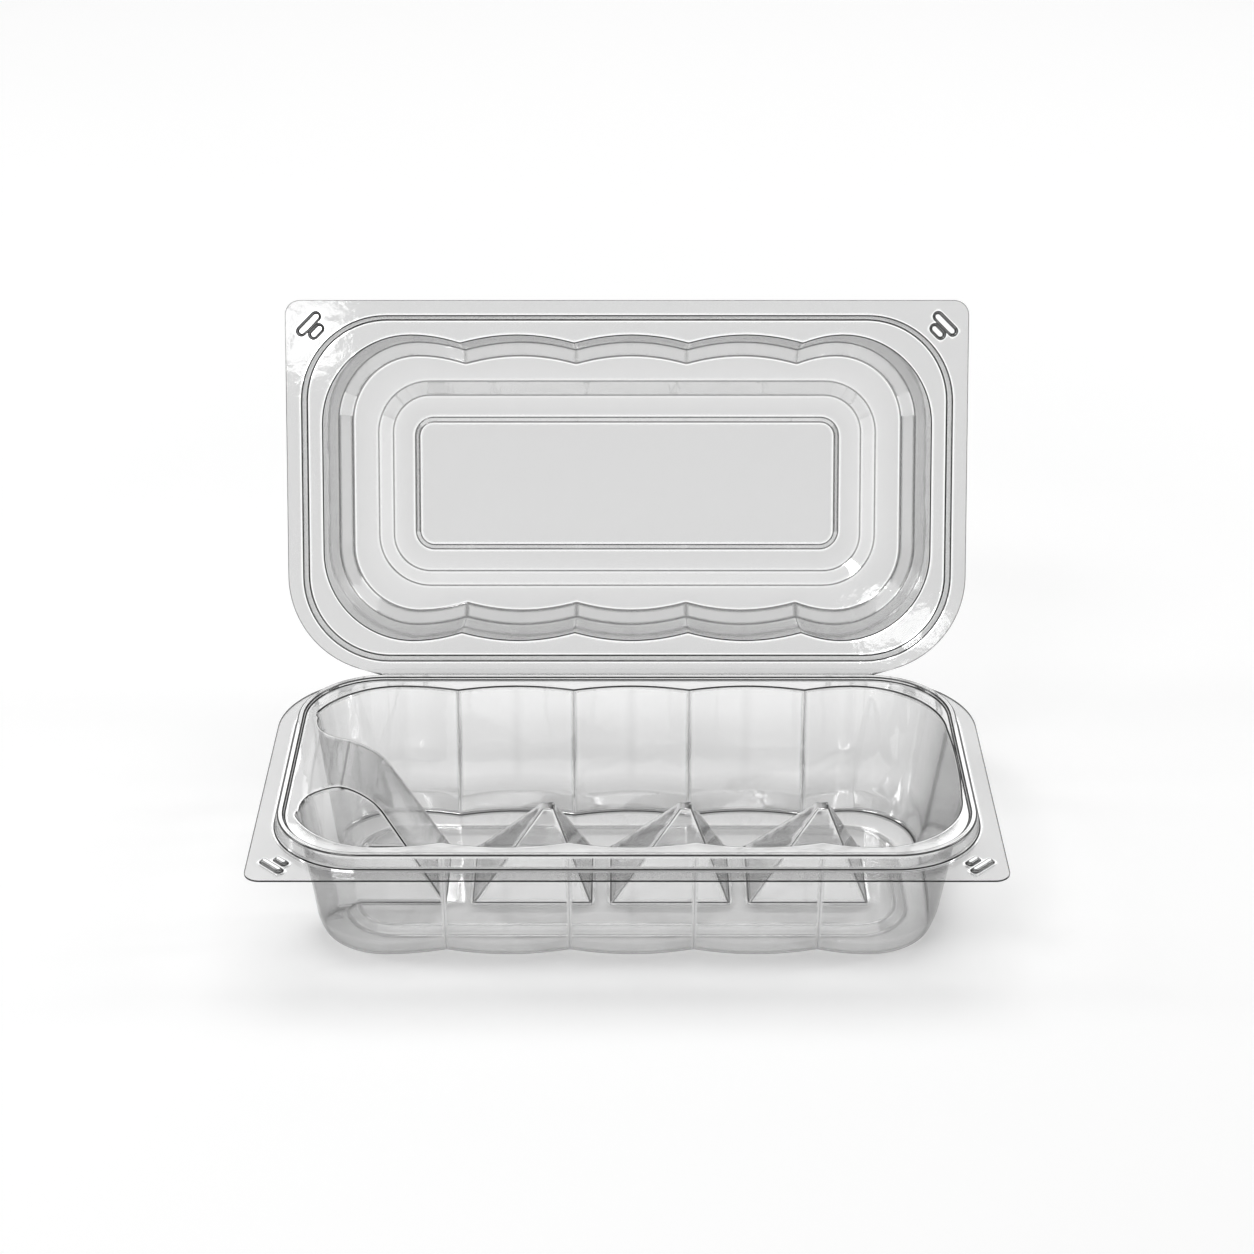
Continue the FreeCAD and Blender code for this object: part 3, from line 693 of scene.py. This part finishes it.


# Transparent sheet tinted by how it faces the eye, with shine over it, painted dark shade lines at
# its folds and painted white highlight beside them
def clearPetMaterial(name, faceColour, edgeColour, edgePower, paintedHighlightShare):
    material = newMaterial(name)
    tree = material.node_tree

    def maths(operation, first, second):
        numbers = {k: v for k, v in enumerate((first, second)) if isinstance(v, float)}
        sockets = {k: v for k, v in enumerate((first, second)) if not isinstance(v, float)}
        node = addNode(tree, "ShaderNodeMath", {"operation": operation}, numbers, sockets)
        return node.outputs[0]

    def colours(share, under, over, blend="MIX"):
        pair = {6: under, 7: over}
        numbers = {k: v for k, v in pair.items() if isinstance(v, list)}
        sockets = {k: v for k, v in pair.items() if not isinstance(v, list)}
        settings = {"data_type": "RGBA", "blend_type": blend}
        node = addNode(tree, "ShaderNodeMix", settings, numbers, {0: share, **sockets})
        return node.outputs[2]

    def painted(label):
        return addNode(tree, "ShaderNodeAttribute", {"attribute_name": label}).outputs["Fac"]

    bright = painted("foldBright")
    facing = addNode(tree, "ShaderNodeLayerWeight", inputs={"Blend": 0.5}).outputs["Facing"]
    steep = maths("POWER", facing, edgePower)
    tint = colours(steep, linear(faceColour), linear(edgeColour))
    # Light that passes on to the floor is dimmed less than what the eye sees through the sheet
    path = addNode(tree, "ShaderNodeLightPath").outputs
    passing = maths("MAXIMUM", path["Is Shadow Ray"], path["Is Diffuse Ray"])
    less = maths("MULTIPLY", passing, clearPet["shadeLess"])
    paled = colours(less, tint, linear("#FFFFFF"))
    # The upright wall throws its darkest shadow low down, where it turns into the foot
    footing = maths("MULTIPLY", painted("footWall"), passing)
    footed = colours(footing, paled, linear(clearPet["footShade"]), "MULTIPLY")
    # Painted shade: the fold and rim lines darken what passes through the sheet
    line = maths("MULTIPLY", maths("SUBTRACT", 1.0, less), painted("foldDark"))
    folded = colours(line, footed, linear(clearPet["foldPaintedShade"]), "MULTIPLY")
    through = addNode(tree, "ShaderNodeBsdfTransparent", links={"Color": folded})
    # Slow waves that forming leaves in the sheet, sized in millimetres
    place = addNode(tree, "ShaderNodeTexCoord").outputs["Object"]
    wave = addNode(tree, "ShaderNodeTexNoise", inputs={
        "Scale": 1000 / clearPet["waveSize"], "Detail": clearPet["waveDetail"]},
                   links={"Vector": place})
    bump = addNode(tree, "ShaderNodeBump", inputs={
        "Distance": clearPet["waveDepth"] / 1000, "Strength": 1.0},
                   links={"Height": wave.outputs[0]})
    gloss = addNode(tree, "ShaderNodeBsdfGlossy", inputs={
        "Color": linear("#FFFFFF"), "Roughness": clearPet["roughness"]},
                    links={"Normal": bump.outputs[0]})
    grazing = maths("POWER", facing, clearPet["glossPower"])
    share = addNode(tree, "ShaderNodeMapRange", inputs={
        3: clearPet["gloss"], 4: clearPet["edgeGloss"]}, links={0: grazing}).outputs[0]
    shine = addNode(tree, "ShaderNodeMath", {"operation": "MULTIPLY_ADD"},
                    {1: clearPet["foldGloss"]}, {0: bright, 2: share}).outputs[0]
    clear = addNode(tree, "ShaderNodeMixShader", links={
        0: shine, 1: through.outputs[0], 2: gloss.outputs[0]})
    # Painted highlight: a white diffuse and translucent layer, lit by the lamps, mixed in beside
    # the folds
    front = addNode(tree, "ShaderNodeBsdfDiffuse", inputs={"Color": linear(clearPet["paintedHighlight"])})
    rear = addNode(tree, "ShaderNodeBsdfTranslucent", inputs={"Color": linear(clearPet["paintedHighlight"])})
    paintedHighlight = addNode(tree, "ShaderNodeMixShader", inputs={0: 0.5},
                   links={1: front.outputs[0], 2: rear.outputs[0]})
    mix = addNode(tree, "ShaderNodeMixShader", links={
        0: maths("MULTIPLY", bright, paintedHighlightShare), 1: clear.outputs[0], 2: paintedHighlight.outputs[0]})
    addNode(tree, "ShaderNodeOutputMaterial", links={"Surface": mix.outputs[0]})
    return material


trayPet = clearPetMaterial("thermoformed clear PET, tray", clearPet["trayFace"],
                           clearPet["trayEdge"], clearPet["trayEdgePower"], clearPet["trayPaintedHighlight"])
lidPet = clearPetMaterial("thermoformed clear PET, lid", clearPet["lidFace"],
                          clearPet["lidEdge"], clearPet["lidEdgePower"], clearPet["lidPaintedHighlight"])
for piece, material in ((traySheet, trayPet), (lidSheet, lidPet), (hingePiece, trayPet)):
    piece.data.materials.append(material)
print("materials done")

# Studio: white floor and surroundings, softboxes, and dark cards that draw the folds
studio = {
    "floor": "#F6F6F6", "floorSize": (7, 7), "floorGlow": (0.12, 0.33), "glowReach": (0.35, 1.15),
    "surround": 0.35, "white": 1.0, "shine": 1.2, "card": "#4A4A4A",
    "cards": {
        "card_left": ((-1.3, -0.35, 0.55), (0.5, 1.0)),
        "card_right": ((1.3, -0.35, 0.55), (0.5, 1.0)),
        "card_front": ((0.0, -1.5, 1.35), (1.8, 0.5)),
        "card_top": ((0.0, 0.35, 1.5), (1.6, 0.45)),
    },
    "lamps": {
        "softbox_key": ((-0.55, -0.75, 1.2), (0.5, 0.25), 4.5),
        "softbox_back": ((0.1, 0.5, 1.5), (1.2, 0.7), 9),
        "softbox_rear": ((0.0, 1.5, 0.95), (0.8, 0.35), 0.5),
        "softbox_right": ((1.15, 0.15, 0.75), (0.15, 0.7), 2.5),
        "softbox_left": ((-1.15, 0.1, 0.7), (0.15, 0.7), 2.5),
        "glint_left": ((-0.235, -0.949, 0.547), (0.045, 0.05), 0.035),
        "glint_right": ((0.208, -1.025, 0.34), (0.06, 0.03), 0.025),
    },
}


def aimed(spot, aim=(0, 0, 0.05)):
    return (Vector(aim) - Vector(spot)).to_track_quat("-Z", "Y").to_euler()


def stagePlate(name, size, colour):
    x, y = size[0] / 2, size[1] / 2
    mesh = bpy.data.meshes.new(name)
    mesh.from_pydata([(-x, -y, 0), (x, -y, 0), (x, y, 0), (-x, y, 0)], [], [(0, 1, 2, 3)])
    plate = bpy.data.objects.new(name, mesh)
    bpy.context.scene.collection.objects.link(plate)
    material = newMaterial("matt paper, " + name)
    paper = addNode(material.node_tree, "ShaderNodeBsdfDiffuse", inputs={"Color": linear(colour)})
    addNode(material.node_tree, "ShaderNodeOutputMaterial", links={"Surface": paper.outputs[0]})
    mesh.materials.append(material)
    return plate


# White to the camera, a little brighter in reflections, dim as a light
def buildWorld():
    world = bpy.data.worlds.new("studio")
    bpy.context.scene.world = world
    world.use_nodes = True
    tree = world.node_tree
    tree.nodes.clear()
    path = addNode(tree, "ShaderNodeLightPath").outputs
    seen = addNode(tree, "ShaderNodeMapRange", inputs={3: studio["surround"], 4: studio["white"]},
                   links={0: path["Is Camera Ray"]})
    strength = addNode(tree, "ShaderNodeMapRange", inputs={4: studio["shine"]},
                       links={0: path["Is Glossy Ray"], 3: seen.outputs[0]})
    background = addNode(tree, "ShaderNodeBackground", inputs={"Color": linear("#FFFFFF")},
                         links={"Strength": strength.outputs[0]})
    addNode(tree, "ShaderNodeOutputWorld", links={"Surface": background.outputs[0]})


# The floor glows a little to the camera, so that it is white there and still takes the shadow
def buildFloor():
    floor = stagePlate("floor", studio["floorSize"], studio["floor"])
    tree = floor.data.materials[0].node_tree
    paper, output = tree.nodes["Diffuse BSDF"], tree.nodes["Material Output"]
    path = addNode(tree, "ShaderNodeLightPath").outputs
    seen = addNode(tree, "ShaderNodeMath", {"operation": "MAXIMUM"}, links={
        0: path["Is Camera Ray"], 1: path["Is Glossy Ray"]})
    where = addNode(tree, "ShaderNodeTexCoord").outputs["Object"]
    away = addNode(tree, "ShaderNodeVectorMath", {"operation": "LENGTH"}, links={0: where})
    near, far = studio["glowReach"]
    least, most = studio["floorGlow"]
    amount = addNode(tree, "ShaderNodeMapRange", inputs={1: near, 2: far, 3: least, 4: most},
                     links={0: away.outputs["Value"]})
    glow = addNode(tree, "ShaderNodeMath", {"operation": "MULTIPLY"},
                   links={0: seen.outputs[0], 1: amount.outputs[0]})
    lit = addNode(tree, "ShaderNodeEmission", links={"Strength": glow.outputs[0]})
    both = addNode(tree, "ShaderNodeAddShader", links={0: paper.outputs[0], 1: lit.outputs[0]})
    tree.links.new(both.outputs[0], output.inputs["Surface"])


def buildLights():
    for name, (spot, size) in studio["cards"].items():
        card = stagePlate(name, size, studio["card"])
        card.location = spot
        card.rotation_euler = aimed(spot)
        card.visible_diffuse = card.visible_shadow = False
    for name, (spot, size, power) in studio["lamps"].items():
        lamp = bpy.data.lights.new(name, "AREA")
        lamp.shape = "RECTANGLE"
        lamp.size, lamp.size_y = size
        lamp.energy = power
        holder = bpy.data.objects.new(name, lamp)
        holder.location = spot
        holder.rotation_euler = aimed(spot)
        bpy.context.scene.collection.objects.link(holder)


buildWorld()
buildFloor()
buildLights()

# Camera: the photograph's viewing angle and framing
view = {
    "spot": (0.0, -0.76844, 0.47456), "tilt": 62.46, "lens": 76.16, "sensor": 36.0,
    "clipStart": 0.01,
    "bounces": {
        "max_bounces": 5, "diffuse_bounces": 2, "glossy_bounces": 2, "transparent_max_bounces": 40,
    },
}
camera = bpy.data.objects.new("camera", bpy.data.cameras.new("camera"))
camera.location = view["spot"]
camera.rotation_euler = (math.radians(view["tilt"]), 0, 0)
camera.data.lens = view["lens"]
camera.data.sensor_width = view["sensor"]
camera.data.clip_start = view["clipStart"]
bpy.context.scene.collection.objects.link(camera)
bpy.context.scene.camera = camera
bpy.context.scene.view_settings.view_transform = "Standard"
for key, value in view["bounces"].items():
    setattr(bpy.context.scene.cycles, key, value)
print("studio and camera done")
